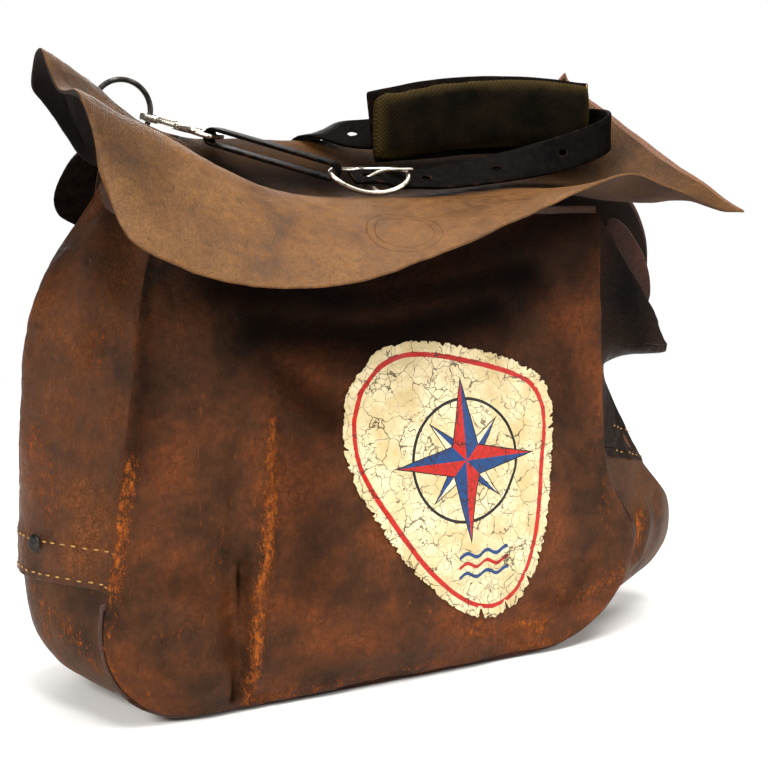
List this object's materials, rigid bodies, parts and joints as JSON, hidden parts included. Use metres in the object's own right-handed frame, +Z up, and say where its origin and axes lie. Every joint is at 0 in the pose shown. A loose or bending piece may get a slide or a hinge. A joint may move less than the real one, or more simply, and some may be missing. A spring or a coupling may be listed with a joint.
{
  "type": "leather mail carrier bag",
  "caption": "Worn leather mail carrier bag with a wide curled flap, folded sides, a printed patch on the front and a buckled shoulder strap with a padded rest.",
  "frame": {"origin": "middle of the floor area that the bag fills, on the floor", "axes": "+X to the bag's right, -Y to its front, +Z up"},
  "size_m": [0.5486, 0.2248, 0.4497],
  "materials": {
    "panel_leather": "worn, waxed",
    "flap_leather": "worn, matt",
    "strap_leather": "oiled",
    "pad_canvas": "woven canvas",
    "printed_patch": "cracked print",
    "nickel": "worn nickel plate",
    "iron": "dark, worn"
  },
  "bodies": {
    "bag": {"front_panel": "panel_leather", "back_panel": "panel_leather", "left_gusset": "panel_leather", "right_gusset": "panel_leather", "bottom_strip": "panel_leather", "front_welt": "panel_leather", "hem_rivet": "iron", "flap": "flap_leather", "front_patch": "printed_patch", "left_ear": "panel_leather", "right_ear": "panel_leather", "right_inner_ear": "panel_leather", "left_ring": "iron", "right_ring": "iron", "left_chape": "strap_leather", "right_chape": "strap_leather", "buckle": "nickel", "buckle_prong": "nickel", "left_hook": "nickel", "billet": "strap_leather", "right_hook": "nickel", "strap": "strap_leather", "shoulder_pad": "pad_canvas", "shoulder_pad_backing": "strap_leather"},
    "gate": {"hook_gate": "nickel"}
  },
  "joints": [
    {"name": "gate_hinge", "type": "hinge", "parent": "bag", "child": "gate", "pos_m": [-0.13526, 0.08157, 0.39784], "axis": [-0.1841, 0.1837, -0.9656], "range_deg": [0, 20], "stiffness_Nm_per_rad": 0.05}
  ]
}
